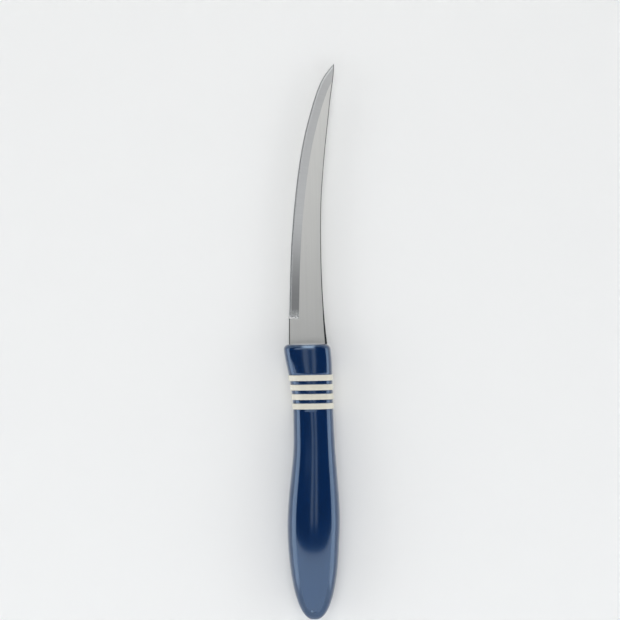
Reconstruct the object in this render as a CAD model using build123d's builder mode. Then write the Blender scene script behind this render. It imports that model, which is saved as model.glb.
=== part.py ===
from build123d import *
import math
import os

# Driving sizes in millimetres. The knife lies on its side: the tip points to +Y, the
# cutting edge faces -X, and the two flats of the blade face up and down.
handle_length = 124.0
handle_width = 23.7
handle_thickness = 16.0
front_rounding = 2.3
blade_length = 126.1
blade_width = 17.2
blade_thickness = 1.5
heel_line_reach = 9.6
strip_rounding = 0.5

# Grinding: the wide flat on both sides of the edge, the narrow bevel inside it, and the
# fine teeth along the edge.
grind_width = 4.4
bevel_width = 1.0
bevel_shoulder_thickness = 0.6
edge_thickness = 0.1
plunge_length = 0.9
tooth_pitch = 0.9
tooth_depth = 0.15

# Tang, the part of the blade strip that the handle is moulded on.
shoulder_depth = 4.5
tang_length = 68.0
tang_width = 10.0
tang_rounding = 3.0
lock_hole_diameter = 5.0
lock_notch_diameter = 3.0

# White rings around the front of the handle, counted from the blade.
ring_count = 4
ring_width = 2.6
land_width = 1.65
ring_setback = 13.85
ring_proud = 0.25
ring_depth = 1.1
ring_rounding = 0.2

# How far every cut runs past what it cuts.
overrun = 2.0

# Rounded butt of the handle: sections at equal angles of a quarter turn, whose sizes are
# the sine of the angle raised to a power, which makes the end rounder than an ellipse.
butt_section_count = 8
butt_first_angle = 4.0
butt_power_share = 0.84
butt_width_share = 0.987

# Handle sections from the belly to the front. Each row holds the place along the handle,
# the reach to the edge side and to the back side as shares of half the width, the half
# thickness as a share of the largest, how far to the back side the crest lies as a share
# of half the width, and the fullness.
#
# Each section is an oval fuller than an ellipse: four quarters, whose curves leave the ends
# of the axes squarely and run the fullness share of the way before they turn.
section_shares = [
    (0.334, 0.987, 1.011, 1.000, 0.012, 0.68),
    (0.430, 0.933, 1.005, 0.985, 0.036, 0.68),
    (0.520, 0.825, 0.950, 0.930, 0.062, 0.68),
    (0.620, 0.715, 0.882, 0.845, 0.083, 0.68),
    (0.720, 0.696, 0.843, 0.790, 0.074, 0.68),
    (0.800, 0.715, 0.828, 0.795, 0.030, 0.70),
    (0.860, 0.795, 0.823, 0.825, -0.003, 0.76),
    (0.910, 0.893, 0.815, 0.855, -0.027, 0.82),
    (0.955, 0.985, 0.796, 0.880, -0.046, 0.84),
    (1.000, 1.030, 0.750, 0.890, -0.062, 0.81),
]

# Blade outline: places along the blade from the handle, and across it from the line of
# the heel, as shares of the blade's length and width.
edge_shares = [
    (0.122, 0.023),
    (0.228, 0.049),
    (0.334, 0.088),
    (0.442, 0.152),
    (0.584, 0.276),
    (0.727, 0.460),
    (0.833, 0.668),
    (0.905, 0.846),
    (0.955, 1.030),
    (1.000, 1.297),
]
spine_shares = [
    (1.000, 1.297),
    (0.965, 1.284),
    (0.920, 1.237),
    (0.867, 1.180),
    (0.796, 1.117),
    (0.726, 1.054),
    (0.618, 0.970),
    (0.511, 0.907),
    (0.397, 0.882),
    (0.296, 0.881),
    (0.196, 0.897),
    (0.120, 0.923),
    (0.055, 0.958),
    (0.000, 1.000),
]
plunge_shares = (0.091, 0.008)
heel_point_shares = (0.095, -0.009)
ricasso_middle_shares = (0.046, 0.004)
lock_hole_shares = (0.34, 0.78)
lock_notch_share = 0.56

# Places worked out from the sizes. The butt and the tip lie equally far from the origin,
# and the lowest line of the belly rests on the ground.
butt_place = -(handle_length + blade_length) / 2
front_place = butt_place + handle_length
middle_height = handle_thickness / 2
shoulder_place = front_place - shoulder_depth
tang_end_place = front_place - tang_length
ring_pitch = ring_width + land_width


def across(place):
    """Plane square to the knife's length at a place along it."""
    return Plane.XZ.offset(-place)


def blade_point(along_share, across_share):
    """Point of the blade's outline from its two shares."""
    return (across_share * blade_width - heel_line_reach, front_place + along_share * blade_length)


def oval(place, edge_reach, back_reach, half_thickness, crest, fullness):
    """Oval section of the handle, square to its length, with its highest point at the crest."""
    with BuildLine(Plane.XZ) as rim:
        for width in (back_reach - crest, -edge_reach - crest):
            for height in (half_thickness, -half_thickness):
                Bezier(
                    (crest + width, middle_height),
                    (crest + width, middle_height + fullness * height),
                    (crest + fullness * width, middle_height + height),
                    (crest, middle_height + height),
                )
    return Pos(0, place, 0) * Face(rim.wire())


def front_sections(growth):
    """Ovals from the belly to the front, all grown or shrunk by one amount."""
    return [
        oval(
            butt_place + along * handle_length,
            edge * handle_width / 2 + growth,
            back * handle_width / 2 + growth,
            thickness * handle_thickness / 2 + growth,
            crest * handle_width / 2,
            fullness,
        )
        for along, edge, back, thickness, crest, fullness in section_shares
    ]


def butt_sections():
    """Ovals of the rounded end, from the butt towards the belly."""
    belly_place, *_, belly_fullness = section_shares[0]
    first = math.radians(butt_first_angle)
    sections = []
    for step in range(butt_section_count):
        angle = first + (math.pi / 2 - first) * step / butt_section_count
        place = butt_place + belly_place * handle_length * (1 - math.cos(angle) / math.cos(first))
        size = math.sin(angle) ** butt_power_share
        half_width = size * butt_width_share * handle_width / 2
        sections.append(
            oval(place, half_width, half_width, size * handle_thickness / 2, 0, belly_fullness)
        )
    return sections


# Smooth line of the cutting edge, and the plane in which the section of the grinding
# stands at the line's start, with its first axis pointing away from the blade.
with BuildLine(Plane.XY.offset(middle_height)) as edge_line:
    Spline(*[blade_point(*shares) for shares in edge_shares])
edge = edge_line.edges()[0]
edge_start = edge @ 0
edge_tip = edge @ 1
start_direction = edge % 0
tip_direction = edge % 1
grind_start = edge_start - start_direction * (edge_start.Y - blade_point(*plunge_shares)[1])
grind_plane = Plane(
    origin=grind_start,
    x_dir=(-start_direction.Y, start_direction.X),
    z_dir=start_direction,
)

# What the grinding takes off the upper side: its section runs along the edge line, from
# the plunge at the heel to past the tip.
bevel_slope = (bevel_shoulder_thickness - edge_thickness) / 2 / bevel_width
with BuildPart() as grinding:
    with BuildSketch(grind_plane):
        with BuildLine():
            Polyline(
                (-grind_width, blade_thickness / 2),
                (-bevel_width, bevel_shoulder_thickness / 2),
                (overrun, edge_thickness / 2 - bevel_slope * overrun),
                (overrun, blade_thickness / 2 + overrun),
                (-grind_width, blade_thickness / 2 + overrun),
                close=True,
            )
        make_face()
    with BuildLine() as grinding_path:
        Line(grind_start, edge_start)
        add(edge)
        Line(edge_tip, edge_tip + tip_direction * overrun)
    sweep(path=grinding_path.wire())
    split(
        bisect_by=Plane(
            origin=(0, grind_start.Y, middle_height + blade_thickness / 2),
            x_dir=(1, 0, 0),
            z_dir=(0, blade_thickness / 2, plunge_length),
        )
    )

grinding_below = mirror(grinding.part, about=Plane.XY.offset(middle_height))

# Blade with its tang, one strip of steel. The tang's rounded corners at the shoulders lie
# inside the strip.
tooth_count = round(edge.length / tooth_pitch)
tooth_length = edge.length / tooth_count
with BuildPart() as blade:
    with BuildSketch(Plane.XY.offset(middle_height - blade_thickness / 2)) as blank:
        with BuildLine():
            for tooth in range(tooth_count):
                tooth_start = edge.position_at(tooth * tooth_length, PositionMode.LENGTH)
                tooth_end = edge.position_at((tooth + 1) * tooth_length, PositionMode.LENGTH)
                chord = tooth_end - tooth_start
                inward = Vector(chord.Y, -chord.X).normalized()
                gullet = (tooth_start + tooth_end) / 2 + inward * tooth_depth
                ThreePointArc(
                    (tooth_start.X, tooth_start.Y),
                    (gullet.X, gullet.Y),
                    (tooth_end.X, tooth_end.Y),
                )
            Spline(*[blade_point(*shares) for shares in spine_shares])
            Polyline(
                blade_point(*spine_shares[-1]),
                (blade_width - heel_line_reach, shoulder_place),
                (-heel_line_reach, shoulder_place),
                blade_point(*plunge_shares),
                blade_point(*heel_point_shares),
            )
            TangentArc(
                (edge_start.X, edge_start.Y),
                blade_point(*heel_point_shares),
                tangent=(-start_direction.X, -start_direction.Y),
            )
        make_face()
        with Locations((0, (shoulder_place + tang_rounding + tang_end_place) / 2)):
            RectangleRounded(tang_width, tang_length - shoulder_depth + tang_rounding, tang_rounding)
        for share in lock_hole_shares:
            with Locations((0, front_place - share * tang_length)):
                Circle(lock_hole_diameter / 2, mode=Mode.SUBTRACT)
        with Locations(
            (-tang_width / 2, front_place - lock_notch_share * tang_length),
            (tang_width / 2, front_place - lock_notch_share * tang_length),
        ):
            Circle(lock_notch_diameter / 2, mode=Mode.SUBTRACT)
    extrude(amount=blade_thickness)
    fillet(
        [
            blade.edges().sort_by_distance((*blade_point(*shares), height))[0]
            for shares in (spine_shares[len(spine_shares) // 2], ricasso_middle_shares)
            for height in (middle_height - blade_thickness / 2, middle_height + blade_thickness / 2)
        ],
        strip_rounding,
    )
    for side in (grinding.part, grinding_below):
        add(side, mode=Mode.SUBTRACT)

# Core of the handle inside the rings, their outer faces, and the bands across the handle
# that the rings fill.
core_sections = front_sections(-ring_depth)
with BuildPart() as ring_core:
    loft(core_sections)

envelope_sections = front_sections(ring_proud)
with BuildPart() as ring_envelope:
    loft(envelope_sections)

ring_bands = []
for ring_number in range(ring_count):
    ring_front = front_place - ring_setback - ring_number * ring_pitch
    with BuildPart() as ring_band:
        with BuildSketch(across(ring_front)):
            with Locations((0, middle_height)):
                Rectangle(handle_width + overrun, handle_thickness + overrun)
        extrude(amount=ring_width)
        add(ring_core.part, mode=Mode.SUBTRACT)
    ring_bands.append(ring_band.part)

# Handle: one moulding around the tang, with a groove for each ring.
handle_sections = butt_sections() + front_sections(0)
with BuildPart() as handle:
    loft(handle_sections)
    front_face = handle.faces().sort_by(Axis.Y)[-1]
    fillet(front_face.edges(), front_rounding)
    for band in ring_bands:
        add(band, mode=Mode.SUBTRACT)
    add(blade.part, mode=Mode.SUBTRACT)

# Rings: each fills its groove and stands a little proud of the handle.
rings = []
for ring_number, band in enumerate(ring_bands, start=1):
    with BuildPart() as ring:
        add(ring_envelope.part)
        add(band, mode=Mode.INTERSECT)
        end_rims = [end.outer_wire().edges() for end in ring.faces().filter_by(Axis.Y)]
        fillet(sum(end_rims, ShapeList()), ring_rounding)
    ring.part.label = f"stripe_ring_{ring_number}"
    rings.append(ring.part)

blade.part.label = "blade"
handle.part.label = "handle"

os.makedirs("parts", exist_ok=True)
for piece in [blade.part, handle.part, *rings]:
    export_step(piece, f"parts/{piece.label}.step")
    print(piece.label, f"{piece.volume:.1f} mm3", piece.bounding_box())
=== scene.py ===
"""Looks of a tomato knife: a ground steel blade in a moulded blue handle with four white rings."""

import math

import bmesh
import bpy
import numpy as np
from bpy.props import FloatProperty, FloatVectorProperty, IntProperty, PointerProperty
from bpy.types import Operator, Panel, PropertyGroup
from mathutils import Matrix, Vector


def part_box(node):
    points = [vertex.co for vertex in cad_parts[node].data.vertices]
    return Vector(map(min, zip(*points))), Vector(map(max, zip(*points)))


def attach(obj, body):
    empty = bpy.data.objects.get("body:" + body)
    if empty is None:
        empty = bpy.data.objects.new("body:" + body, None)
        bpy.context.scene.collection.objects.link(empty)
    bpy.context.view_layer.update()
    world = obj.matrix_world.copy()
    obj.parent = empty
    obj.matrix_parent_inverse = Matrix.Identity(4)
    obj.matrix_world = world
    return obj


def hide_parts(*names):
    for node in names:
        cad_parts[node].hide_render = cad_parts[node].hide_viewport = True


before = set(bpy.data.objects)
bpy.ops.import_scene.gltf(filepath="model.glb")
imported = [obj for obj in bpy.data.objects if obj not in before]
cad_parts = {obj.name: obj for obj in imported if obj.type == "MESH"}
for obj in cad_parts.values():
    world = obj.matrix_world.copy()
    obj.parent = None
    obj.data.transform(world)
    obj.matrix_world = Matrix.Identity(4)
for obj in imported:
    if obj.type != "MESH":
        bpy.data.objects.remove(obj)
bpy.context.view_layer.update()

bl_info = {
    "name": "Tomato Knife",
    "version": (1, 0, 0),
    "blender": (4, 5, 0),
    "location": "View3D > Sidebar > Tomato Knife",
    "description": "Builds a tomato knife with a ground blade and a moulded, ringed handle",
    "category": "Add Mesh",
}

MM = 0.001
# What counts as no distance at all, on the blade's fine teeth and elsewhere.
HAIR = 0.001 * MM
TOLERANCE = 0.01 * MM
# Where two faces turn by more than this, the edge between them is shaded sharp.
CREASE = math.radians(50)
BODY = "root"
RING_NODES = [name for name in sorted(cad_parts) if name.startswith("stripe_ring")]

# The picture: its width in pixels, and what its middle shows, across from the handle's axis
# and along from the butt.
PICTURE_PIXELS = 620
PICTURE_ACROSS = 0.1 * MM
PICTURE_ALONG = 139.3 * MM

# Places and sizes that the frame holds. The knife lies on its side with its tip to +Y and
# its cutting edge to -X.
blade_low, blade_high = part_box("blade")
handle_low, handle_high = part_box("handle")
first_ring_low, first_ring_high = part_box(RING_NODES[0])
second_ring_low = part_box(RING_NODES[1])[0]
last_ring_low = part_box(RING_NODES[-1])[0]
butt_place = handle_low.y
front_place = handle_high.y
handle_length = front_place - butt_place
blade_length = blade_high.y - front_place
tang_end_place = blade_low.y
middle_height = (blade_low.z + blade_high.z) / 2
half_blade_thickness = (blade_high.z - blade_low.z) / 2
ring_width = first_ring_high.y - first_ring_low.y
ring_pitch = first_ring_low.y - second_ring_low.y

# Handle sections from the belly to the front. Each row holds the place along the handle,
# the reach to the edge side and to the back side as shares of half the width, the half
# thickness as a share of the largest, how far to the back side the crest lies as a share
# of half the width, and the fullness.
SECTION_SHARES = [
    (0.334, 0.987, 1.011, 1.000, 0.012, 0.68),
    (0.430, 0.933, 1.005, 0.985, 0.036, 0.68),
    (0.520, 0.825, 0.950, 0.930, 0.062, 0.68),
    (0.620, 0.715, 0.882, 0.845, 0.083, 0.68),
    (0.720, 0.696, 0.843, 0.790, 0.074, 0.68),
    (0.800, 0.715, 0.828, 0.795, 0.030, 0.70),
    (0.860, 0.795, 0.823, 0.825, -0.003, 0.76),
    (0.910, 0.893, 0.815, 0.855, -0.027, 0.82),
    (0.955, 0.985, 0.796, 0.880, -0.046, 0.84),
    (1.000, 1.030, 0.750, 0.890, -0.062, 0.81),
]

# The butt is a round end: the angles of its sections, and how blunt it is, where 1 is an ellipse.
BUTT_ANGLES = (0, 3, 7, 12, 20, 30, 40, 50, 60, 70, 80)
BUTT_POWER = 0.84

# Blade outline: places along the blade from the handle, and across it from the line of
# the heel, as shares of the blade's length and width.
EDGE_SHARES = [
    (0.122, 0.023),
    (0.228, 0.049),
    (0.334, 0.088),
    (0.442, 0.152),
    (0.584, 0.276),
    (0.727, 0.460),
    (0.833, 0.668),
    (0.905, 0.846),
    (0.955, 1.030),
    (1.000, 1.297),
]
SPINE_SHARES = [
    (0.000, 1.000),
    (0.055, 0.958),
    (0.120, 0.923),
    (0.196, 0.897),
    (0.296, 0.881),
    (0.397, 0.882),
    (0.511, 0.907),
    (0.618, 0.970),
    (0.726, 1.054),
    (0.796, 1.117),
    (0.867, 1.180),
    (0.920, 1.237),
    (0.965, 1.284),
    (1.000, 1.297),
]
PLUNGE_SHARES = (0.091, 0.008)
HEEL_POINT_SHARES = (0.095, -0.009)

# The bevel bows out: shares of its width, and of its rise from the edge there.
BEVEL_SHARES = ((0, 0), (0.25, 0.42), (0.5, 0.68), (0.75, 0.86), (1, 1))

# The gate mark's profile: shares of its radius, and heights over the skin in millimetres.
GATE_PROFILE = (
    (1.0, -0.06), (1.0, 0.03), (0.93, 0.055), (0.8, 0.06), (0.62, 0.05), (0.5, 0.02), (0.25, 0.01))

# Typical for polypropylene.
POLYPROPYLENE_IOR = 1.49

# How finely curves are read, how many steps a quarter of a section has on the handle and on
# the surface that the rings are bent round, and how many rows or sides the meshes have.
CURVE_STEPS = 4000
SECTION_STEPS = 24
SURFACE_STEPS = 36
SURFACE_ROWS = 60
BUTT_ROWS = 40
GRIP_ROWS = 30
LAND_ROWS = 6
COLLAR_ROWS = 12
ROUNDING_ROWS = 13
GATE_SIDES = 32
HEEL_ROWS = 14
BEAK_ROWS = 10
TOOTH_ROWS = 6
BAND_STEPS = 3
FLAT_STEPS = 7


def linear(hex_colour):
    """Linear RGBA of an sRGB colour written as a hex value."""
    channels = [int(hex_colour[start:start + 2], 16) / 255 for start in (1, 3, 5)]
    return [c / 12.92 if c <= 0.04045 else ((c + 0.055) / 1.055)**2.4 for c in channels] + [1.0]


def add_node(tree, kind, inputs=None, **settings):
    """Adds a node and sets its settings. Its inputs, by name or number, are set to a value, or
    linked to a socket or to the first output of another node."""
    made = tree.nodes.new(kind)
    for name, value in settings.items():
        setattr(made, name, value)
    for socket, value in (inputs or {}).items():
        if isinstance(value, bpy.types.Node):
            value = next(output for output in value.outputs if output.enabled)
        if isinstance(value, bpy.types.NodeSocket):
            tree.links.new(value, made.inputs[socket])
        else:
            made.inputs[socket].default_value = value
    return made


def new_material(name):
    """Node material without nodes, and its tree."""
    material = bpy.data.materials.new(name)
    material.use_nodes = True
    material.node_tree.nodes.clear()
    return material, material.node_tree


def add_shader(tree, inputs):
    """Shader with the inputs, linked to the material's output."""
    shader = add_node(tree, "ShaderNodeBsdfPrincipled", inputs)
    add_node(tree, "ShaderNodeOutputMaterial", {"Surface": shader})


def smooth_curve(knots, values, places):
    """Natural cubic spline through the values at the knots, read at the places."""
    knots = np.asarray(knots, float)
    values = np.asarray(values, float)
    places = np.clip(places, knots[0], knots[-1])
    gaps = np.diff(knots)
    slopes = np.diff(values) / gaps
    count = len(knots)
    system = np.eye(count)
    turns = np.zeros(count)
    for row in range(1, count - 1):
        system[row, row - 1:row + 2] = gaps[row - 1], 2 * (gaps[row - 1] + gaps[row]), gaps[row]
        turns[row] = 6 * (slopes[row] - slopes[row - 1])
    bends = np.linalg.solve(system, turns)
    span = np.clip(np.searchsorted(knots, places, side="right") - 1, 0, count - 2)
    before = places - knots[span]
    after = knots[span + 1] - places
    gap = gaps[span]
    return (
        (bends[span] * after**3 + bends[span + 1] * before**3) / (6 * gap)
        + (values[span] / gap - bends[span] * gap / 6) * after
        + (values[span + 1] / gap - bends[span + 1] * gap / 6) * before
    )


def grid_faces(rows, columns, closed):
    """Quads between rows of equally many points. Closed rows join their last point to their
    first."""
    last = columns if closed else columns - 1
    return [
        (row * columns + column, row * columns + (column + 1) % columns,
         (row + 1) * columns + (column + 1) % columns, (row + 1) * columns + column)
        for row in range(rows - 1)
        for column in range(last)
    ]


def smooth_edges(shaped):
    """Shades over each edge that is no crease and has one finish on both sides."""
    for edge in shaped.edges:
        finishes = {face.material_index for face in edge.link_faces}
        edge.smooth = len(finishes) == 1 and edge.calc_face_angle(0) < CREASE


def add_map(mesh, name, pairs):
    """UV map with a pair of values for each point of the mesh."""
    corners = np.empty(len(mesh.loops), int)
    mesh.loops.foreach_get("vertex_index", corners)
    mesh.uv_layers.new(name=name).uv.foreach_set("vector", pairs[corners].ravel())


def new_piece(name, mesh, *nodes):
    """Object at the origin that rides on the body and stands for the nodes, which it hides."""
    piece = bpy.data.objects.new(name, mesh)
    bpy.context.scene.collection.objects.link(piece)
    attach(piece, BODY)
    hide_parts(*nodes)
    return piece


def length_setting(name, description, millimetres, **more):
    """Length property whose default is given in millimetres."""
    default = millimetres * MM
    return FloatProperty(name=name, description=description, default=default, unit="LENGTH", **more)


def share_setting(name, description, share):
    """Property that is a share of something."""
    return FloatProperty(name=name, description=description, default=share, subtype="FACTOR")


def colour_setting(name, description, hex_colour):
    """Colour property whose default is an sRGB hex value."""
    return FloatVectorProperty(
        name=name, description=description, default=linear(hex_colour),
        subtype="COLOR", size=4, min=0, max=1)


class BladeSettings(PropertyGroup):
    """Sizes and colours of the blade."""

    scene_name = "tomato_knife_blade"

    width: length_setting("Width", "Width of the blade at the handle", 17.2)
    heel_line: length_setting(
        "Heel line", "How far the heel lies to the edge side of the handle's axis", 9.6)
    grind_width: length_setting("Ground band", "Width of the ground band along the edge", 4.4)
    bevel_width: length_setting("Bevel", "Width of the whetted bevel along the edge", 1)
    bevel_thickness: length_setting(
        "Bevel thickness", "Thickness of the steel where the bevel starts", 0.6)
    edge_thickness: length_setting("Edge thickness", "Thickness of the cutting edge", 0.1)
    plunge_length: length_setting(
        "Plunge", "Length of the ramp from the flat down to the ground band", 0.9)
    root_rounding: length_setting(
        "Rounding at the handle", "Width of the spine's rounding next to the handle", 1)
    rounding: length_setting("Rounding", "Width of the rounding of the other blanked edges", 0.42)
    tip_rounding: length_setting(
        "Rounding at the tip", "Width of the spine's rounding at the tip", 0.25)
    tooth_pitch: length_setting("Tooth pitch", "Distance from tooth to tooth", 0.9)
    tooth_depth: length_setting("Tooth depth", "Depth of the gullets between the teeth", 0.15)
    flute_depth: length_setting(
        "Flute depth", "Depth of the flute that each gullet cuts into the bevel", 0.03)
    tang_width: length_setting("Tang width", "Width of the tang inside the handle", 10)
    shoulder_depth: length_setting(
        "Shoulder depth", "How far the full width runs into the handle", 4.5)
    flat_colour: colour_setting("Flats", "Colour of the satin flats", "#D6D6D3")
    # Painted shade: how far the flats' colour is darkened at the handle.
    flat_painted_shade_share: share_setting(
        "Flats at the heel", "How bright the flats are at the handle, beside the rest", 0.92)
    ground_colour: colour_setting("Ground band", "Colour of the ground band", "#CCCDCD")
    # Painted shade: how far the band's colour is darkened at the heel.
    ground_heel_painted_shade: share_setting(
        "Band at the heel", "How bright the ground band is at the heel, beside the rest", 0.46)
    # Painted shade: how far the band's colour is darkened at the tip.
    ground_tip_painted_shade: share_setting(
        "Band at the tip", "How bright the ground band is at the tip, beside the rest", 0.78)
    bevel_colour: colour_setting("Whetted bevel", "Colour of the whetted bevel", "#D0D2D3")
    # Blanked steel's own darkness, deepened by painted shade for the dark reflections along the
    # outline.
    blanked_and_painted_shade_colour: colour_setting("Blanked edges", "Colour of the blanked edges", "#38393B")


class HandleSettings(PropertyGroup):
    """Sizes and colours of the handle."""

    scene_name = "tomato_knife_handle"

    width: length_setting("Width", "Nominal width of the handle, which the sections follow", 23.7)
    thickness: length_setting("Thickness", "Largest thickness of the handle", 16)
    front_rounding: length_setting("Front rounding", "Radius of the rim at the front", 2.3)
    parting_width: length_setting(
        "Parting line width", "Width of the fine line where the mould's halves met", 0.16)
    parting_height: length_setting("Parting line height", "Height of the parting line", 0.03)
    groove_rounding: length_setting("Groove rounding", "Radius of the grooves' rims", 0.12)
    gate_diameter: length_setting("Gate mark", "Diameter of the mark left by the mould's gate", 1.1)
    gate_distance: length_setting("Gate distance", "Distance of the gate mark from the butt", 4.2)
    gate_offset: length_setting("Gate offset", "How far the gate mark lies to the edge side", 1.2)
    colour: colour_setting("Blue", "Colour of the plastic", "#01224C")
    gate_colour: colour_setting(
        "Gate mark", "Colour of the plastic that was torn at the gate", "#8FA9C2")


class RingSettings(PropertyGroup):
    """Sizes and colours of the rings."""

    scene_name = "tomato_knife_rings"

    proud: length_setting("Proud", "How far the rings stand out of the handle", 0.25)
    depth: length_setting("Depth", "How far the rings reach into the handle", 1.1)
    rounding: length_setting("Rounding", "Radius of the rings' rims", 0.22)
    around: IntProperty(
        name="Steps around", description="Steps of the mesh around a ring", default=144)
    colour: colour_setting("White", "Colour of the plastic", "#DED9C9")


class StageSettings(PropertyGroup):
    """Camera, lights and floor."""

    scene_name = "tomato_knife_stage"

    lens: FloatProperty(
        name="Lens", description="Focal length of the camera in millimetres", default=150.0)
    turn: FloatProperty(
        name="Turn", description="How far the knife is turned in the picture",
        default=math.radians(0.95), subtype="ANGLE")
    pixel: length_setting("Pixel", "Size of a pixel of the picture at the blade", 0.45, precision=5)
    floor_radius: length_setting("Floor radius", "Radius of the level floor", 1300)
    wall_height: length_setting("Wall height", "Height of the curved wall round the floor", 1300)
    floor_colour: colour_setting("Floor", "Colour of the floor and wall", "#FAF9F6")


def shade(colour, share):
    """The colour, made brighter or darker by the share."""
    return [channel * share for channel in colour[:3]] + [1.0]


def drawn_lines(tree, coordinates, spacing, length, detail=2.0):
    """Noise that is drawn out into lines: spacing apart across the first axis and as long as
    length on the second."""
    stretched = add_node(tree, "ShaderNodeMapping", {
        "Vector": coordinates,
        "Scale": (1 / spacing, 1 / length, 1 / spacing),
    })
    return add_node(tree, "ShaderNodeTexNoise", {
        "Vector": stretched,
        "Scale": 1.0,
        "Detail": detail,
        "Roughness": 0.6,
    })


def cut_surface(tree, pattern, smoothest, roughest, strength, depth):
    """Shader inputs for a surface that the pattern cuts and makes rougher."""
    return {
        "Roughness": add_node(tree, "ShaderNodeMapRange", {
            "Value": pattern,
            "To Min": smoothest,
            "To Max": roughest,
        }),
        "Normal": add_node(tree, "ShaderNodeBump", {
            "Height": pattern,
            "Strength": strength,
            "Distance": depth,
        }),
    }


def lined_colour(tree, colour, lines, spread, painted_shade):
    """The colour, varied by the lines to both sides by the spread and then dimmed by the painted
    shade.
    """
    varied = add_node(tree, "ShaderNodeMix", {
        "Factor": lines,
        "A": shade(colour, 1 - spread),
        "B": shade(colour, 1 + spread),
    }, data_type="RGBA")
    return add_node(tree, "ShaderNodeVectorMath", {0: varied, "Scale": painted_shade}, operation="SCALE")


def cloud_colour(tree, coordinates, size, detail, dark, light):
    """Colour between the two, in soft clouds of about the size."""
    cloud = add_node(tree, "ShaderNodeTexNoise", {
        "Vector": coordinates,
        "Scale": 1 / size,
        "Detail": detail,
    })
    return add_node(tree, "ShaderNodeMix", {
        "Factor": cloud,
        "A": dark,
        "B": light,
    }, data_type="RGBA")


def satin_stainless(settings):
    """Martensitic stainless strip, satin finished by belts along the blade: soft lengthwise
    lines that blur what the steel reflects along them and leave it crisp across. Towards the
    handle the colour is darkened: painted shade, for the dimmer reflections there."""
    material, tree = new_material("satin_stainless_flats")
    coordinates = add_node(tree, "ShaderNodeTexCoord").outputs["Object"]
    # Belt grit of about 0.1 mm, and the streaks of about 0.8 mm that single coarse grains leave.
    grit = drawn_lines(tree, coordinates, 0.1 * MM, 18 * MM)
    streaks = drawn_lines(tree, coordinates, 0.8 * MM, 60 * MM)
    along = add_node(tree, "ShaderNodeSeparateXYZ", {"Vector": coordinates}).outputs["Y"]
    # Painted shade: the flats' colour is darkened towards the handle.
    painted_handle_shade = add_node(tree, "ShaderNodeMapRange", {
        "Value": along,
        "From Min": front_place,
        "From Max": front_place + 45 * MM,
        "To Min": settings.flat_painted_shade_share,
    })
    add_shader(tree, {
        "Metallic": 1.0,
        "Base Color": lined_colour(tree, settings.flat_colour, streaks, 0.05, painted_handle_shade),
        **cut_surface(tree, grit, smoothest=0.24, roughest=0.4, strength=0.35, depth=0.004 * MM),
    })
    return material


def cross_ground_stainless(settings):
    """The same steel where the wheel ground it square to the edge: rougher than the flats, with
    short scratches across the band. It is coarsest at the heel, where the wheel came down, and
    the run-out there is a row of nicks, whose colour is brightened as painted glints. The band's
    colour is darkened at the heel, and a little towards the tip, where the blade narrows:
    painted shade, for the dimmer reflections there."""
    material, tree = new_material("cross_ground_stainless")
    across = add_node(tree, "ShaderNodeUVMap", uv_map="along_and_across")
    along = add_node(tree, "ShaderNodeSeparateXYZ", {"Vector": across}).outputs["X"]
    # Wheel grit of about 0.15 mm, and the ripple of about 0.7 mm that the wheel's own beat leaves.
    grit = drawn_lines(tree, across, 0.15 * MM, 3 * MM)
    ripple = drawn_lines(tree, across, 0.7 * MM, 12 * MM)
    # Painted shade: the band's colour is darkened towards the heel and, a little, towards the tip.
    painted_heel_shade = add_node(tree, "ShaderNodeMapRange", {
        "Value": along,
        "From Min": 4 * MM,
        "From Max": 44 * MM,
        "To Min": settings.ground_heel_painted_shade,
    }, interpolation_type="SMOOTHSTEP")
    painted_tip_shade = add_node(tree, "ShaderNodeMapRange", {
        "Value": along,
        "From Min": 45 * MM,
        "From Max": 115 * MM,
        "To Min": 1.0,
        "To Max": settings.ground_tip_painted_shade,
    })
    painted_shade = add_node(tree, "ShaderNodeMath", {0: painted_heel_shade, 1: painted_tip_shade}, operation="MULTIPLY")
    painted_shade_colour = lined_colour(tree, settings.ground_colour, ripple, 0.06, painted_shade)
    # Nicks of the run-out, about 0.5 mm across.
    nicks = add_node(tree, "ShaderNodeTexNoise", {
        "Vector": across,
        "Scale": 1 / (0.5 * MM),
        "Detail": 1.0,
    })
    run_out = add_node(tree, "ShaderNodeMapRange", {
        "Value": along,
        "From Min": -2.8 * MM,
        "From Max": 0.6 * MM,
        "To Min": 1.0,
        "To Max": 0.0,
    })
    # Painted glints: the nicks' colour is brightened up to almost three times.
    painted_glint = add_node(tree, "ShaderNodeMapRange", {
        "Value": nicks,
        "From Min": 0.4,
        "From Max": 0.65,
        "To Min": 1.1,
        "To Max": 2.9,
    })
    painted_glint_colour = add_node(tree, "ShaderNodeVectorMath", {0: painted_shade_colour, "Scale": painted_glint}, operation="SCALE")
    colour = add_node(tree, "ShaderNodeMix", {
        "Factor": run_out,
        "A": painted_shade_colour,
        "B": painted_glint_colour,
    }, data_type="RGBA")
    scratched = cut_surface(
        tree, grit, smoothest=0.32, roughest=0.5, strength=0.5, depth=0.01 * MM)
    nick_height = add_node(tree, "ShaderNodeMath", {0: nicks, 1: run_out}, operation="MULTIPLY")
    nick_bump = add_node(tree, "ShaderNodeBump", {
        "Height": nick_height,
        "Strength": 0.8,
        "Distance": 0.08 * MM,
        "Normal": scratched["Normal"],
    })
    add_shader(tree, {
        "Metallic": 1.0,
        "Base Color": colour,
        "Roughness": scratched["Roughness"],
        "Normal": nick_bump,
    })
    return material


def whetted_stainless(settings):
    """The narrow bevel, whetted on a finer stone: the brightest steel on the blade."""
    material, tree = new_material("whetted_stainless_bevel")
    across = add_node(tree, "ShaderNodeUVMap", uv_map="along_and_across")
    # Stone grit of about 0.08 mm.
    grit = drawn_lines(tree, across, 0.08 * MM, 1 * MM)
    add_shader(tree, {
        "Metallic": 1.0,
        "Base Color": settings.bevel_colour,
        **cut_surface(tree, grit, smoothest=0.22, roughest=0.35, strength=0.4, depth=0.004 * MM),
    })
    return material


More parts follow.
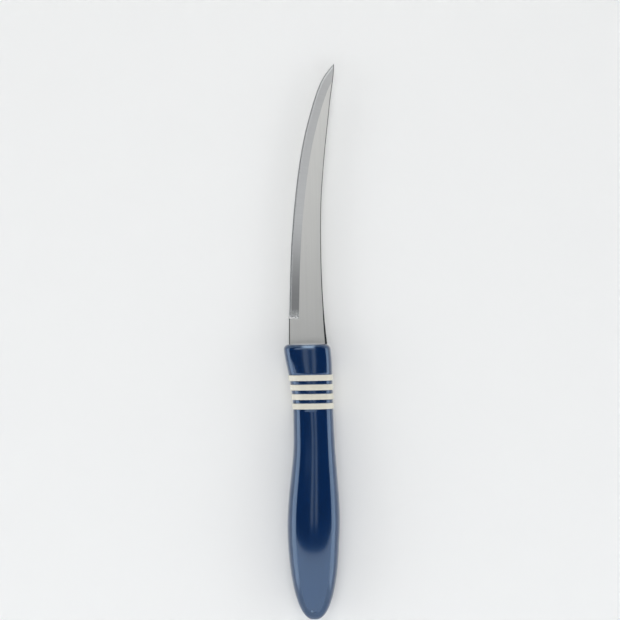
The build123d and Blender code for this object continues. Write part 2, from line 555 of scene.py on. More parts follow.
def blanked_stainless(settings):
    """The edges that the blanking press cut and the belts never reached: dull and torn into fine
    lines through the strip's thickness. They are dark partly as blanked steel is, and much
    darker still as painted shade, for the dark reflections along the blade's outline."""
    material, tree = new_material("blanked_stainless_edge")
    # Tears about 0.2 mm apart along the edge.
    tears = add_node(tree, "ShaderNodeMapping", {
        "Vector": add_node(tree, "ShaderNodeTexCoord").outputs["Object"],
        "Scale": (1 / (2 * MM), 1 / (0.2 * MM), 1 / (2 * MM)),
    })
    torn = add_node(tree, "ShaderNodeTexNoise", {"Vector": tears, "Scale": 1.0, "Detail": 3.0})
    add_shader(tree, {
        "Metallic": 1.0,
        "Base Color": settings.blanked_and_painted_shade_colour,
        **cut_surface(tree, torn, smoothest=0.35, roughest=0.6, strength=0.5, depth=0.01 * MM),
    })
    return material


def blue_polypropylene(settings):
    """Glossy polypropylene with a dark blue masterbatch, injection moulded in a polished tool:
    a deep even blue under a clear skin, with the faint waves of a thick shrinking wall and the
    fine scuffs of handling. The skin mirrors in clear white, and what the coloured plastic
    under it mirrors is tinted, so the reflections are a greyish light blue."""
    material, tree = new_material("blue_moulded_polypropylene")
    coordinates = add_node(tree, "ShaderNodeTexCoord").outputs["Object"]
    dark, light = (shade(settings.colour, share) for share in (0.85, 1.15))
    # Scuffs a few hundredths wide and a few millimetres long, drawn at 0.12 mm so that they show.
    scuffs = drawn_lines(tree, coordinates, 0.12 * MM, 4 * MM, detail=4.0)
    scuffed = add_node(tree, "ShaderNodeMapRange", {
        "Value": scuffs,
        "From Min": 0.6,
        "From Max": 0.8,
        "To Min": 0.14,
        "To Max": 0.34,
    })
    # Waves about 9 mm across and a few hundredths deep.
    waves = add_node(tree, "ShaderNodeTexNoise", {
        "Vector": coordinates,
        "Scale": 1 / (9 * MM),
        "Detail": 1.0,
    })
    bump = add_node(tree, "ShaderNodeBump", {
        "Height": waves,
        "Strength": 0.3,
        "Distance": 0.05 * MM,
    })
    add_shader(tree, {
        "IOR": POLYPROPYLENE_IOR,
        "Specular IOR Level": 1.0,
        "Specular Tint": linear("#A1D5FF"),
        "Coat Weight": 1.0,
        "Coat Roughness": 0.08,
        "Base Color": cloud_colour(tree, coordinates, 14 * MM, 2.0, dark, light),
        "Roughness": scuffed,
        "Normal": bump,
    })
    return material


def torn_polypropylene(settings):
    """The blue plastic where the gate was broken off: stress-whitened and matt."""
    material, tree = new_material("torn_polypropylene_gate")
    coordinates = add_node(tree, "ShaderNodeTexCoord").outputs["Object"]
    blue, whitened = settings.colour, settings.gate_colour
    add_shader(tree, {
        "IOR": POLYPROPYLENE_IOR,
        "Roughness": 0.6,
        # Torn fibres of about 0.3 mm.
        "Base Color": cloud_colour(tree, coordinates, 0.3 * MM, 2.0, blue, whitened),
    })
    return material


def white_polypropylene(settings):
    """Polypropylene again, in warm white: slightly milky, because light enters its skin, and a
    little duller than the blue."""
    material, tree = new_material("white_moulded_polypropylene")
    coordinates = add_node(tree, "ShaderNodeTexCoord").outputs["Object"]
    dark, light = (shade(settings.colour, share) for share in (0.94, 1.06))
    # Grain of about 0.3 mm, from a less polished part of the tool.
    grain = add_node(tree, "ShaderNodeTexNoise", {
        "Vector": coordinates,
        "Scale": 1 / (0.3 * MM),
        "Detail": 2.0,
    })
    add_shader(tree, {
        "IOR": POLYPROPYLENE_IOR,
        "Subsurface Weight": 0.15,
        "Subsurface Radius": (1.0, 0.9, 0.7),
        "Subsurface Scale": 0.4 * MM,
        "Base Color": cloud_colour(tree, coordinates, 5 * MM, 3.0, dark, light),
        "Roughness": add_node(tree, "ShaderNodeMapRange", {
            "Value": grain,
            "To Min": 0.25,
            "To Max": 0.38,
        }),
    })
    return material


def studio_paper(settings):
    """Seamless backdrop paper: matt and nearly white."""
    material, tree = new_material("seamless_backdrop_paper")
    add_shader(tree, {
        "Base Color": settings.floor_colour,
        "Roughness": 0.9,
        "Specular IOR Level": 0.2,
    })
    return material


def handle_spine(settings, places):
    """Edge reach, back reach, half thickness, crest and fullness of the handle at the places."""
    belly_share, reach_share, _, _, crest_share, fullness = SECTION_SHARES[0]
    butt = []
    for angle in np.radians(BUTT_ANGLES):
        size = math.sin(angle) ** BUTT_POWER
        reach = reach_share * size
        butt.append((
            belly_share * (1 - math.cos(angle)), reach, reach, size, crest_share * size, fullness))
    rows = np.array(butt + SECTION_SHARES)
    rows[:, 0] *= handle_length
    rows[:, (1, 2, 4)] *= settings.width / 2
    rows[:, 3] *= settings.thickness / 2
    steps = np.linalg.norm(np.diff(rows[:, :4], axis=0), axis=1)
    travel = np.concatenate(([0], np.cumsum(steps)))
    fine = np.linspace(0, travel[-1], CURVE_STEPS)
    along, *columns = (smooth_curve(travel, column, fine) for column in rows.T)
    return [np.interp(np.asarray(places) - butt_place, along, column) for column in columns]


def oval_basis(steps, side_steps=()):
    """Unit oval counted from the back side: its points with no fullness, and what a fullness of
    one adds to them. The side steps are extra points close to the two sides."""
    t = np.unique(np.concatenate((side_steps, np.linspace(0, 1, steps + 1))))
    bare = np.stack(((1 - t)**3 + 3 * (1 - t)**2 * t, 3 * (1 - t) * t**2 + t**3), axis=1)
    added = np.stack((3 * (1 - t) * t**2, 3 * (1 - t)**2 * t), axis=1)
    return [
        np.concatenate((
            quarter[:-1],
            (quarter[::-1] * (-1, 1))[:-1],
            (quarter * (-1, -1))[:-1],
            (quarter[::-1] * (1, -1))[:-1],
        ))
        for quarter in (bare, added)
    ]


def oval_rows(settings, places, insets, basis):
    """Points of the handle's sections at the places, drawn in by the insets."""
    edge, back, thickness, crest, fullness = handle_spine(settings, places)
    bare, added = basis
    unit = bare + fullness[:, None, None] * added
    edge_side = np.maximum(edge + crest - insets, 0)[:, None]
    back_side = np.maximum(back - crest - insets, 0)[:, None]
    rows = np.empty((len(places), len(bare), 3))
    reach = np.where(unit[:, :, 0] > 0, back_side, edge_side)
    rows[:, :, 0] = crest[:, None] + reach * unit[:, :, 0]
    rows[:, :, 1] = np.asarray(places)[:, None]
    rows[:, :, 2] = middle_height + np.maximum(thickness - insets, 0)[:, None] * unit[:, :, 1]
    return rows


def handle_stations(settings, groove_depth):
    """Places along the handle with how far each section is drawn in there: nothing on the skin,
    the groove's depth under a ring, and a quarter circle at each rim."""
    rim = settings.groove_rounding
    turns = np.radians([0, 30, 60, 90])
    arc = [(rim * math.sin(turn), rim - rim * math.cos(turn)) for turn in turns]
    belly = SECTION_SHARES[0][0] * handle_length
    place = butt_place + belly
    stations = [
        (place - belly * math.cos(angle), 0.0)
        for angle in np.radians(np.linspace(0, 90, BUTT_ROWS))
    ]
    boxes = [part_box(node) for node in reversed(RING_NODES)]
    for number, (low, high) in enumerate(boxes):
        steps = GRIP_ROWS if number == 0 else LAND_ROWS
        gap = low.y - rim - place
        stations += [(place + gap * share, 0.0) for share in np.arange(1, steps) / steps]
        stations += [(low.y - rim + ahead, inset) for ahead, inset in arc]
        stations += [(low.y, groove_depth), (high.y, groove_depth)]
        stations += [(high.y + rim - ahead, inset) for ahead, inset in reversed(arc)]
        place = high.y + rim
    rounding_start = front_place - settings.front_rounding
    stations += [(spot, 0.0) for spot in np.linspace(place, rounding_start, COLLAR_ROWS)[1:-1]]
    for turn in np.radians(np.linspace(0, 90, ROUNDING_ROWS)):
        stations.append((
            rounding_start + settings.front_rounding * math.sin(turn),
            settings.front_rounding * (1 - math.cos(turn)),
        ))
    # Two rows on the front face inside its rounding, so that the face is shaded flat.
    stations += [(front_place, settings.front_rounding + inward * MM) for inward in (0.4, 1.6)]
    return np.array(stations)


class TOMATO_KNIFE_OT_handle(Operator):
    """Make the moulded handle with its ring grooves, parting line and gate mark"""

    bl_idname = "tomato_knife.handle"
    bl_label = "Handle"

    def execute(self, context):
        settings = context.scene.tomato_knife_handle
        rings = context.scene.tomato_knife_rings
        stations = handle_stations(settings, rings.depth / 2)
        side_step = settings.parting_width / (3 * SECTION_SHARES[0][-1] * settings.thickness)
        basis = oval_basis(SECTION_STEPS, (side_step, 2 * side_step))
        rows = oval_rows(settings, stations[1:, 0], stations[1:, 1], basis)
        # The parting line is a ridge on both sides, on the skin alone. A section's height grows
        # with the square of the step from its side, so it is 1 one side step away, and 4 two.
        squared_steps = np.abs(basis[0][:, 1]) / (3 * side_step**2)
        ridge = np.interp(squared_steps, [0, 1, 5, 6], [1, 0.75, 0.75, 0]) * settings.parting_height
        on_skin = stations[1:, 1] < settings.groove_rounding
        rows[:, :, 0] += np.sign(basis[0][:, 0]) * ridge * on_skin[:, None]
        count = rows.shape[1]
        points = rows.reshape(-1, 3).tolist()
        faces = grid_faces(len(rows), count, closed=True)
        butt = len(points)
        points.append((0.0, butt_place, middle_height))
        faces += [(butt, (column + 1) % count, column) for column in range(count)]
        last = (len(rows) - 1) * count
        faces.append(tuple(range(last, last + count)))
        mesh = bpy.data.meshes.new("handle_skin")
        mesh.from_pydata(points, [], faces)
        self.add_gate_mark(mesh, settings)
        for material in (blue_polypropylene, torn_polypropylene):
            mesh.materials.append(material(settings))
        new_piece("handle_skin", mesh, "handle")
        return {"FINISHED"}

    def add_gate_mark(self, mesh, settings):
        """Small raised disc with a rounded rim, where the mould's gate was trimmed off."""
        shaped = bmesh.new()
        shaped.from_mesh(mesh)
        bmesh.ops.recalc_face_normals(shaped, faces=shaped.faces)
        for face in shaped.faces:
            face.smooth = len(face.verts) < 5
        smooth_edges(shaped)
        place = butt_place + settings.gate_distance
        slope_reach = 0.1 * MM
        top, ahead = (handle_spine(settings, [spot])[2][0] for spot in (place, place + slope_reach))
        slope = (ahead - top) / slope_reach
        rings = []
        for reach, height in GATE_PROFILE:
            ring = []
            for side in range(GATE_SIDES):
                turn = 2 * math.pi * side / GATE_SIDES
                across = reach * settings.gate_diameter / 2 * math.cos(turn) - settings.gate_offset
                along = reach * settings.gate_diameter / 2 * math.sin(turn)
                rise = top + along * slope + height * MM
                ring.append(shaped.verts.new((across, place + along, middle_height + rise)))
            rings.append(ring)
        shaped.faces.new(reversed(rings[0]))
        for number, (outer, inner) in enumerate(zip(rings, rings[1:])):
            for side in range(GATE_SIDES):
                after = (side + 1) % GATE_SIDES
                face = shaped.faces.new((outer[side], outer[after], inner[after], inner[side]))
                face.smooth = True
                face.material_index = int(number > 1)
        shaped.faces.new(rings[-1]).material_index = 1
        shaped.to_mesh(mesh)
        shaped.free()


# How far the rings' ends stay from the seam of the map round the handle.
SEAM_SHARE = 1e-5


def ring_tree(settings, material):
    """Node tree that bends an unrolled ring strip round the handle's surface, once for each
    ring. Its geometry input is the surface, with a map of shares around and along it."""
    tree = bpy.data.node_groups.new("rings_round_handle", "GeometryNodeTree")
    tree.interface.new_socket("Surface", in_out="INPUT", socket_type="NodeSocketGeometry")
    for name, kind, value in (
        ("Ring Count", "NodeSocketInt", len(RING_NODES)),
        ("Steps Around", "NodeSocketInt", settings.around),
        ("Ring Width", "NodeSocketFloat", ring_width),
        ("Ring Pitch", "NodeSocketFloat", ring_pitch),
        ("First Ring", "NodeSocketFloat", 0.0),
        ("Surface Length", "NodeSocketFloat", 1.0),
        ("Proud", "NodeSocketFloat", settings.proud),
        ("Depth", "NodeSocketFloat", settings.depth),
        ("Rounding", "NodeSocketFloat", settings.rounding),
    ):
        tree.interface.new_socket(name, in_out="INPUT", socket_type=kind).default_value = value
    tree.interface.new_socket("Rings", in_out="OUTPUT", socket_type="NodeSocketGeometry")
    given = add_node(tree, "NodeGroupInput").outputs

    # One strip, unrolled: along the handle on X, once around on Y, and out of it on Z.
    height = add_node(tree, "ShaderNodeMath", {0: given["Proud"], 1: given["Depth"]})
    section = add_node(tree, "GeometryNodeCurvePrimitiveQuadrilateral", {
        "Width": given["Ring Width"],
        "Height": height,
    })
    divided = add_node(tree, "GeometryNodeSubdivideCurve", {"Curve": section, "Cuts": 6})
    rounded = add_node(tree, "GeometryNodeFilletCurve", {
        "Curve": divided,
        "Count": 4,
        "Radius": given["Rounding"],
    }, mode="POLY")
    once_around = add_node(tree, "GeometryNodeCurvePrimitiveLine", {"End": (0.0, 1.0, 0.0)})
    stepped = add_node(tree, "GeometryNodeResampleCurve", {
        "Curve": once_around,
        "Count": given["Steps Around"],
    })
    strip = add_node(tree, "GeometryNodeCurveToMesh", {"Curve": stepped, "Profile Curve": rounded})

    # A copy of the strip for each ring, one pitch apart.
    spots = add_node(tree, "GeometryNodeMeshLine", {
        "Count": given["Ring Count"],
        "Start Location": add_node(tree, "ShaderNodeCombineXYZ", {"X": given["First Ring"]}),
        "Offset": add_node(tree, "ShaderNodeCombineXYZ", {"X": given["Ring Pitch"]}),
    })
    copies = add_node(tree, "GeometryNodeInstanceOnPoints", {"Points": spots, "Instance": strip})
    strips = add_node(tree, "GeometryNodeRealizeInstances", {"Geometry": copies})

    # Each point goes to its share around and along the surface, raised along the normal there.
    # The shares around stop just short of the seam, because the map ends there.
    position = add_node(tree, "GeometryNodeInputPosition")
    flat = add_node(tree, "ShaderNodeSeparateXYZ", {"Vector": position}).outputs
    around = add_node(tree, "ShaderNodeMapRange", {
        "Value": flat["Y"],
        "To Min": SEAM_SHARE,
        "To Max": 1 - SEAM_SHARE,
    })
    along = add_node(tree, "ShaderNodeMath", {
        0: flat["X"],
        1: given["Surface Length"],
    }, operation="DIVIDE")
    spot = add_node(tree, "ShaderNodeCombineXYZ", {"X": around, "Y": along})
    surface_map = add_node(tree, "GeometryNodeInputNamedAttribute", {
        "Name": "around_and_along",
    }, data_type="FLOAT_VECTOR")
    base, normal = (
        add_node(tree, "GeometryNodeSampleUVSurface", {
            "Mesh": given["Surface"],
            "Value": add_node(tree, field),
            "Source UV Map": surface_map,
            "Sample UV": spot,
        }, data_type="FLOAT_VECTOR")
        for field in ("GeometryNodeInputPosition", "GeometryNodeInputNormal")
    )
    sink = add_node(tree, "ShaderNodeMath", {
        0: given["Proud"],
        1: given["Depth"],
    }, operation="SUBTRACT")
    middle = add_node(tree, "ShaderNodeMath", {0: sink, 1: 2.0}, operation="DIVIDE")
    raised = add_node(tree, "ShaderNodeMath", {0: flat["Z"], 1: middle})
    lift = add_node(tree, "ShaderNodeVectorMath", {0: normal, "Scale": raised}, operation="SCALE")
    placed = add_node(tree, "ShaderNodeVectorMath", {0: base, 1: lift})
    bent = add_node(tree, "GeometryNodeSetPosition", {"Geometry": strips, "Position": placed})
    joined = add_node(tree, "GeometryNodeMergeByDistance", {
        "Geometry": bent,
        "Distance": TOLERANCE,
    })
    smooth = add_node(tree, "GeometryNodeSetShadeSmooth", {"Geometry": joined})
    finished = add_node(tree, "GeometryNodeSetMaterial", {
        "Geometry": smooth,
        "Material": material,
    })
    add_node(tree, "NodeGroupOutput", {"Rings": finished})
    return tree


class TOMATO_KNIFE_OT_rings(Operator):
    """Bend the four white rings round the front of the handle"""

    bl_idname = "tomato_knife.rings"
    bl_label = "Rings"

    def execute(self, context):
        settings = context.scene.tomato_knife_rings
        handle = context.scene.tomato_knife_handle
        margin = ring_pitch - ring_width
        low, high = last_ring_low.y - margin, first_ring_high.y + margin
        places = np.linspace(low, high, SURFACE_ROWS)
        basis = [np.concatenate((part, part[:1])) for part in oval_basis(SURFACE_STEPS)]
        rows = oval_rows(handle, places, np.zeros(len(places)), basis)
        around = rows.shape[1]
        surface = bpy.data.meshes.new("ring_surface")
        faces = grid_faces(len(places), around, closed=False)
        surface.from_pydata(rows.reshape(-1, 3).tolist(), [], faces)
        surface.flip_normals()
        shares = np.meshgrid(np.linspace(0, 1, around), np.linspace(0, 1, len(places)))
        add_map(surface, "around_and_along", np.stack(shares, axis=2).reshape(-1, 2))
        carrier = bpy.data.objects.new("ring_carrier", surface)
        context.scene.collection.objects.link(carrier)
        tree = ring_tree(settings, white_polypropylene(settings))
        bender = carrier.modifiers.new("rings_round_handle", "NODES")
        bender.node_group = tree
        sockets = {item.name: item.identifier for item in tree.interface.items_tree}
        bender[sockets["Surface Length"]] = high - low
        bender[sockets["First Ring"]] = margin + ring_width / 2
        evaluated = carrier.evaluated_get(context.evaluated_depsgraph_get())
        mesh = bpy.data.meshes.new_from_object(evaluated)
        bpy.data.objects.remove(carrier)
        if len(mesh.vertices) == 0:
            raise RuntimeError("the rings came out empty")
        mesh.name = "stripe_rings"
        new_piece("stripe_rings", mesh, *RING_NODES)
        return {"FINISHED"}


def blade_point(settings, along_share, across_share):
    """Point of the blade's outline from its two shares."""
    across = across_share * settings.width - settings.heel_line
    return across, front_place + along_share * blade_length


def outline_reach(settings, shares, places):
    """How far across the blade the outline through the shares lies at the places."""
    points = np.array([blade_point(settings, *pair) for pair in shares])
    return smooth_curve(points[:, 1], points[:, 0], places)


# Points of the edge's line and of its straight run-in, and how many of them measuring skips.
EDGE_STEPS = 3000
RUN_IN_STEPS = 200
MEASURE_STEP = 4
MEASURE_PARTS = 40

# How far from the handle the spine's rounding is down to its usual width, and how far to the
# middle share of that. Near the tip it takes up no more than the largest share of the blade.
ROOT_LENGTH = 16 * MM
MIDDLE_LENGTH = 50 * MM
MIDDLE_ROUNDING_SHARE = 0.7
LARGEST_ROUNDING_SHARE = 0.4

# A quarter circle, as shares of a rounding, and the places of rows down the plunge's ramp.
QUARTER_SHARES = 1 - np.sin(np.radians([90, 67.5, 45, 22.5, 0]))
RAMP_SHARES = np.array([0.02, 0.25, 0.5, 0.75, 1.0])

# How far along the blade the tang widens to the shoulder.
SHOULDER_LENGTH = 0.5 * MM


class BladeShape:
    """The blade as a height over its middle plane: the ground band and the bevel rise from the
    edge, the plunge ramps up to the flat at the heel, and the blanked edges are rounded."""

    def __init__(self, settings):
        self.settings = settings
        self.heel_place = blade_point(settings, *EDGE_SHARES[0])[1]
        self.plunge_place = blade_point(settings, *PLUNGE_SHARES)[1]
        self.ramp_start = self.plunge_place + TOLERANCE
        self.ramp_end = self.plunge_place + settings.plunge_length
        fine = np.linspace(self.heel_place, blade_high.y, EDGE_STEPS)
        edge = np.stack((outline_reach(settings, EDGE_SHARES, fine), fine), axis=1)
        self.start_slope = (edge[1, 0] - edge[0, 0]) / (edge[1, 1] - edge[0, 1])
        # The line runs on straight past the handle's front, so that the heel can be measured too.
        run_in_length = 2 * settings.grind_width + self.heel_place - front_place
        run_in = np.linspace(-run_in_length, 0, RUN_IN_STEPS)[:-1]
        straight = edge[0] + run_in[:, None] * (self.start_slope, 1)
        self.line = np.concatenate((straight, edge))
        steps = np.linalg.norm(np.diff(self.line, axis=0), axis=1)
        travel = np.concatenate(([0], np.cumsum(steps)))
        self.travel = travel - travel[len(straight)]

    def tooth_rows(self, steps):
        """Places of the rows along the toothed edge, and where each lies within its tooth."""
        teeth = round(self.travel[-1] / self.settings.tooth_pitch)
        travel = np.linspace(0, self.travel[-1], teeth * steps + 1)
        within = np.arange(teeth * steps + 1) / steps % 1
        return np.interp(travel, self.travel, self.line[:, 1]), within

    def parallel(self, distance, places):
        """Reach across the blade, at the places, of the line at a distance from the edge."""
        headings = np.gradient(self.line, axis=0)
        headings /= np.linalg.norm(headings, axis=1)[:, None]
        moved = self.line + distance * np.stack((headings[:, 1], -headings[:, 0]), axis=1)
        return np.interp(places, moved[:, 1], moved[:, 0])

    def measure(self, reach, places):
        """Distance of each point from the smooth line of the edge, and the travel along it."""
        spots = np.stack((reach.ravel(), np.repeat(places, reach.shape[1])), axis=1)
        line, travel = self.line[::MEASURE_STEP], self.travel[::MEASURE_STEP]
        distance, along = [], []
        # The points are taken in parts, because the table of all gaps is large.
        for part in np.array_split(spots, MEASURE_PARTS):
            gaps = np.linalg.norm(part[:, None] - line[None], axis=2)
            nearest = gaps.argmin(axis=1)
            distance.append(gaps[np.arange(len(part)), nearest])
            along.append(travel[nearest])
        return [np.concatenate(parts).reshape(reach.shape) for parts in (distance, along)]

    def edge_side(self, places, within):
        """Reach of the edge side: the straight of the heel, its beak, and the toothed edge."""
        settings = self.settings
        heel = blade_point(settings, *EDGE_SHARES[0])
        beak = blade_point(settings, *HEEL_POINT_SHARES)
        plunge = blade_point(settings, *PLUNGE_SHARES)
        straight = np.interp(
            places,
            [front_place - settings.shoulder_depth, plunge[1], beak[1]],
            [-settings.heel_line, plunge[0], beak[0]],
        )
        back = heel[1] - places
        beak_length = heel[1] - beak[1]
        bow = (heel[0] - beak[0] - self.start_slope * beak_length) / beak_length**2
        hooked = heel[0] - self.start_slope * back - bow * back**2
        toothed = outline_reach(settings, EDGE_SHARES, places)
        toothed += settings.tooth_depth * gullet(within)
        return np.where(places < beak[1], straight, np.where(places < heel[1], hooked, toothed))


def gullet(within):
    """Share of a gullet's depth at a place within the tooth: none at its two tips."""
    return np.where(within > 0, 1 - (2 * within - 1)**2, 0.0)


def blade_columns(shape, places, left, right):
    """Reach of each column of points across the blade, from the edge to the spine."""
    settings = shape.settings
    middle_rounding = MIDDLE_ROUNDING_SHARE * settings.rounding
    rounding = np.interp(
        places,
        [front_place, front_place + ROOT_LENGTH, front_place + MIDDLE_LENGTH, blade_high.y],
        [settings.root_rounding, settings.rounding, middle_rounding, settings.tip_rounding],
    )
    rounding = np.minimum(rounding, LARGEST_ROUNDING_SHARE * (right - left))
    limit = right - rounding
    bevel = [shape.parallel(settings.bevel_width * share, places) for share, _ in BEVEL_SHARES[1:]]
    blanked = [left + settings.rounding * share for share in QUARTER_SHARES[1:]]
    at_heel = places <= shape.ramp_start
    edge = [left] + [np.where(at_heel, *pair) for pair in zip(blanked, bevel)]
    band_width = settings.grind_width - settings.bevel_width
    band = [
        shape.parallel(settings.bevel_width + band_width * share, places)
        for share in np.arange(1, BAND_STEPS + 1) / BAND_STEPS
    ]
    edge = [np.minimum(column, limit) for column in edge + band]
    flat = [
        edge[-1] + (limit - edge[-1]) * step / FLAT_STEPS
        for step in range(1, FLAT_STEPS)
    ]
    spine = [right - rounding * share for share in QUARTER_SHARES[::-1]]
    return np.stack(edge + flat + spine, axis=1), rounding


def blade_heights(shape, reach, places, within, distance, rounding):
    """Height of each point over the middle plane of the blade."""
    settings = shape.settings
    swell = (settings.bevel_thickness - settings.edge_thickness) / 2
    bevel = [settings.edge_thickness / 2 + swell * share for _, share in BEVEL_SHARES]
    ground = np.interp(
        distance,
        [settings.bevel_width * share for share, _ in BEVEL_SHARES] + [settings.grind_width],
        bevel + [half_blade_thickness],
    )
    fade = np.clip(1 - distance / settings.bevel_width, 0, 1)
    ground -= settings.flute_depth * fade * gullet(within)[:, None]
    ramp = half_blade_thickness * (1 - (places - shape.plunge_place) / settings.plunge_length)
    height = np.maximum(ground, np.clip(ramp, 0, half_blade_thickness)[:, None])
    spine_share = np.clip((reach[:, -1:] - reach) / rounding[:, None], 0, 1)
    heel_share = np.clip((reach - reach[:, :1]) / settings.rounding, 0, 1)
    heel_share[places > shape.ramp_start] = 1
    for share in (spine_share, heel_share):
        drop = settings.rounding * (1 - np.sqrt(1 - (1 - share)**2))
        height = np.minimum(height, half_blade_thickness - drop)
    return height


# The finishes, in the order of the material slots, and how many columns of faces there are from
# the edge to the end of the bevel, of the ground band and of the flat.
SATIN, GROUND, WHETTED, BLANKED = range(4)
BEVEL_COLUMNS = len(BEVEL_SHARES) - 1
BAND_COLUMNS = BEVEL_COLUMNS + BAND_STEPS
FLAT_COLUMNS = BAND_COLUMNS + FLAT_STEPS


def blade_finish(shape, place, column, distance):
    """Which finish a face has, from its place, its column and its distance from the edge."""
    settings = shape.settings
    if place < front_place - settings.shoulder_depth:
        return SATIN
    if column >= FLAT_COLUMNS:
        return BLANKED
    if place < shape.plunge_place:
        return BLANKED if column < BEVEL_COLUMNS else SATIN
    if place < shape.ramp_end and column < BAND_COLUMNS:
        return GROUND
    if distance < settings.bevel_width:
        return WHETTED
    return GROUND if distance < settings.grind_width else SATIN


def blade_mesh(settings):
    """Closed mesh of the blade, with a map of places along and across the ground band."""
    shape = BladeShape(settings)
    shoulder_place = front_place - settings.shoulder_depth
    heel_rows = np.concatenate((
        np.linspace(shoulder_place, shape.plunge_place, HEEL_ROWS),
        shape.plunge_place + settings.plunge_length * RAMP_SHARES,
        np.linspace(shape.ramp_end, shape.heel_place, BEAK_ROWS)[1:-1],
    ))
    tooth_places, tooth_within = shape.tooth_rows(TOOTH_ROWS)
    places = np.concatenate((heel_rows, tooth_places))
    within = np.concatenate((np.zeros(len(heel_rows)), tooth_within))
    left = shape.edge_side(places, within)
    right = outline_reach(settings, SPINE_SHARES, places)
    right[-1] = left[-1]
    reach, rounding = blade_columns(shape, places, left, right)
    distance, along = shape.measure(reach, places)
    rounding = np.maximum(rounding, HAIR)
    height = blade_heights(shape, reach, places, within, distance, rounding)

    tang_places = np.array([tang_end_place, shoulder_place - SHOULDER_LENGTH])
    tang_reach = np.linspace(-0.5, 0.5, reach.shape[1]) * settings.tang_width * np.ones((2, 1))
    places = np.concatenate((tang_places, places))
    reach = np.concatenate((tang_reach, reach))
    height = np.concatenate((np.full(tang_reach.shape, half_blade_thickness), height))
    distance = np.concatenate((np.full(tang_reach.shape, settings.grind_width), distance))
    along = np.concatenate((np.zeros(tang_reach.shape), along))

    rows, columns = reach.shape
    spread = np.broadcast_to(places[:, None], reach.shape)
    tops = np.stack((reach, spread, middle_height + height), axis=2)
    bottoms = tops * (1, 1, -1) + (0, 0, 2 * middle_height)
    points = np.concatenate((tops.reshape(-1, 3), bottoms.reshape(-1, 3)))
    below = rows * columns
    faces, finishes = [], []
    for row in range(rows - 1):
        place = (places[row] + places[row + 1]) / 2
        for column in range(columns - 1):
            a = row * columns + column
            quad = (a, a + 1, a + columns + 1, a + columns)
            middle = distance[row:row + 2, column:column + 2].mean()
            finish = blade_finish(shape, place, column, middle)
            faces += [quad, tuple(below + corner for corner in quad)]
            finishes += [finish, finish]
        for column in (0, columns - 1):
            a = row * columns + column
            faces.append((a, a + columns, below + a + columns, below + a))
            toothed = column == 0 and place > shape.plunge_place
            finishes.append(WHETTED if toothed else BLANKED)
    faces += [(c, c + 1, below + c + 1, below + c) for c in range(columns - 1)]
    finishes += [BLANKED] * (columns - 1)

    mesh = bpy.data.meshes.new("blade_steel")
    mesh.from_pydata(points.tolist(), [], faces)
    mesh.polygons.foreach_set("material_index", finishes)
    spots = np.stack((along, distance), axis=2).reshape(-1, 2)
    add_map(mesh, "along_and_across", np.tile(spots, (2, 1)))
    shaped = bmesh.new()
    shaped.from_mesh(mesh)
    # The teeth's points lie close together, so only true doubles are merged.
    bmesh.ops.remove_doubles(shaped, verts=shaped.verts, dist=2 * HAIR)
    bmesh.ops.dissolve_degenerate(shaped, edges=shaped.edges, dist=HAIR)
    bmesh.ops.recalc_face_normals(shaped, faces=shaped.faces)
    for face in shaped.faces:
        face.smooth = True
    smooth_edges(shaped)
    shaped.to_mesh(mesh)
    shaped.free()
    return mesh


class TOMATO_KNIFE_OT_blade(Operator):
    """Make the ground and toothed blade with its tang"""

    bl_idname = "tomato_knife.blade"
    bl_label = "Blade"

    def execute(self, context):
        settings = context.scene.tomato_knife_blade
        mesh = blade_mesh(settings)
        finishes = (
            satin_stainless, cross_ground_stainless, whetted_stainless, blanked_stainless)
        for material in finishes:
            mesh.materials.append(material(settings))
        new_piece("blade_steel", mesh, "blade")
        return {"FINISHED"}


def add_softbox(name, centre, aim, size, radiance, colour="#FFFFFF"):
    """Rectangular soft light that faces the aim. The radiance is that of its face, where 1 is
    white."""
    lamp = bpy.data.lights.new(name, "AREA")
    lamp.shape = "RECTANGLE"
    lamp.size, lamp.size_y = size
    lamp.energy = radiance * math.pi * size[0] * size[1]
    lamp.color = linear(colour)[:3]
    box = bpy.data.objects.new(name, lamp)
    box.location = centre
    box.rotation_euler = (Vector(aim) - Vector(centre)).to_track_quat("-Z", "Y").to_euler()
    box.visible_camera = False
    bpy.context.scene.collection.objects.link(box)


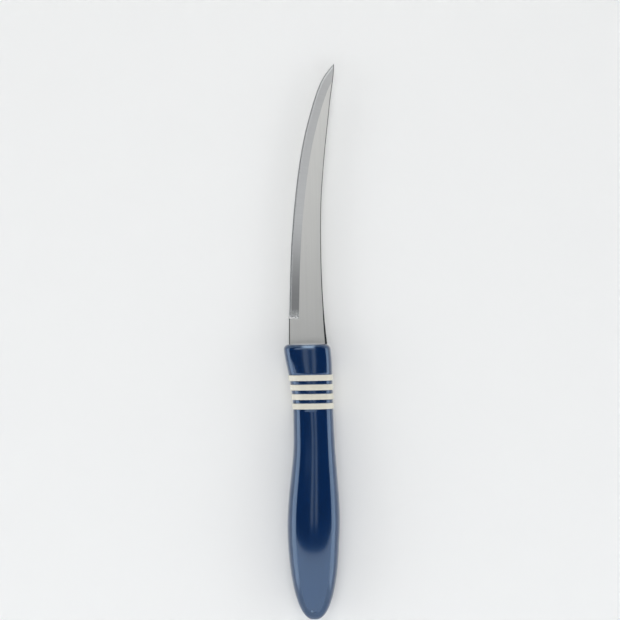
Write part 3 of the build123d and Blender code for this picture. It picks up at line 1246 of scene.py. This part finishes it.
class TOMATO_KNIFE_OT_stage(Operator):
    """Make the floor, its curved wall, the soft lights and the camera"""

    bl_idname = "tomato_knife.stage"
    bl_label = "Stage"

    def execute(self, context):
        settings = context.scene.tomato_knife_stage
        self.add_floor(context, settings)
        self.add_lights(context)
        self.add_camera(context, settings)
        return {"FINISHED"}

    def add_floor(self, context, settings):
        """Level round floor that curves up into a wall."""
        radius, curve = settings.floor_radius, 0.4
        profile = [(share * radius, 0.0) for share in (0.05, 0.3, 0.7, 1.0)]
        for turn in np.radians(np.linspace(0, 90, ROUNDING_ROWS))[1:]:
            profile.append((radius + curve * math.sin(turn), curve * (1 - math.cos(turn))))
        profile.append((radius + curve, settings.wall_height))
        turns = np.radians(np.arange(0, 360, 4))
        points = [
            (reach * math.cos(turn), reach * math.sin(turn), height)
            for reach, height in reversed(profile)
            for turn in turns
        ]
        faces = grid_faces(len(profile), len(turns), closed=True)
        faces.append(tuple(range(len(points) - len(turns), len(points))))
        mesh = bpy.data.meshes.new("studio_floor")
        mesh.from_pydata(points, [], faces)
        mesh.shade_smooth()
        mesh.materials.append(studio_paper(settings))
        floor = bpy.data.objects.new("studio_floor", mesh)
        context.scene.collection.objects.link(floor)

    def add_lights(self, context):
        """Two narrow strips overhead with a box past their end, a wide panel past the butt, a
        panel at each side, and a tall narrow one past the tip."""
        middle = (0.0, 0.0, middle_height)
        cool = "#F4F8FF"
        for name, side, brightness in (("left", -1, 1.42), ("right", 1, 1.3)):
            across = side * 0.06 + 0.01
            overhead, below = (across, -0.0225, 1.0), (across, -0.0225, 0.0)
            add_softbox(f"overhead_{name}", overhead, below, (0.07, 0.285), 0.74)
            beside, inwards = (side * 1.5, 0.0, 0.62), (0.0, 0.0, 0.62)
            add_softbox(f"panel_{name}", beside, inwards, (3.0, 1.0), brightness, cool)
        add_softbox("over_tip", (-0.14, 0.42, 1.0), (-0.14, 0.42, 0.0), (0.54, 0.76), 1.15)
        add_softbox("past_butt", (0.0, -0.985, 1.25), (0.0, -0.985, 0.0), (3.2, 1.33), 1.45, cool)
        add_softbox("past_tip", (0.0, 1.024, 0.717), middle, (0.2, 1.3), 3.4)
        world = bpy.data.worlds.new("studio")
        world.use_nodes = True
        tree = world.node_tree
        tree.nodes.clear()
        sky = add_node(tree, "ShaderNodeBackground", {"Color": linear("#F2F6FA"), "Strength": 0.05})
        add_node(tree, "ShaderNodeOutputWorld", {"Surface": sky})
        context.scene.world = world
        context.scene.view_settings.view_transform = "Standard"

    def add_camera(self, context, settings):
        """Long lens straight above the knife, turned so that the knife leans in the picture."""
        lens = bpy.data.cameras.new("camera")
        lens.lens = settings.lens
        camera = bpy.data.objects.new("camera", lens)
        distance = settings.lens / lens.sensor_width * PICTURE_PIXELS * settings.pixel
        camera.location = (PICTURE_ACROSS, butt_place + PICTURE_ALONG, middle_height + distance)
        camera.rotation_euler = (0.0, 0.0, -settings.turn)
        context.scene.collection.objects.link(camera)
        context.scene.camera = camera


class TOMATO_KNIFE_PT_panel(Panel):
    """Lists the sizes and colours of the knife, and the steps that make it"""

    bl_idname = "TOMATO_KNIFE_PT_panel"
    bl_label = "Tomato Knife"
    bl_space_type = "VIEW_3D"
    bl_region_type = "UI"
    bl_category = "Tomato Knife"

    def draw(self, context):
        for operator, settings in STEPS:
            box = self.layout.box()
            group = getattr(context.scene, settings.scene_name)
            for name in settings.__annotations__:
                box.prop(group, name)
            box.operator(operator.bl_idname)


STEPS = (
    (TOMATO_KNIFE_OT_stage, StageSettings),
    (TOMATO_KNIFE_OT_blade, BladeSettings),
    (TOMATO_KNIFE_OT_handle, HandleSettings),
    (TOMATO_KNIFE_OT_rings, RingSettings),
)


def register():
    for operator, settings in STEPS:
        bpy.utils.register_class(settings)
        bpy.utils.register_class(operator)
        setattr(bpy.types.Scene, settings.scene_name, PointerProperty(type=settings))
    bpy.utils.register_class(TOMATO_KNIFE_PT_panel)


def unregister():
    bpy.utils.unregister_class(TOMATO_KNIFE_PT_panel)
    for operator, settings in reversed(STEPS):
        delattr(bpy.types.Scene, settings.scene_name)
        bpy.utils.unregister_class(operator)
        bpy.utils.unregister_class(settings)


def main():
    register()
    bpy.ops.tomato_knife.stage()
    bpy.ops.tomato_knife.blade()
    bpy.ops.tomato_knife.handle()
    bpy.ops.tomato_knife.rings()


if __name__ == "__main__":
    main()
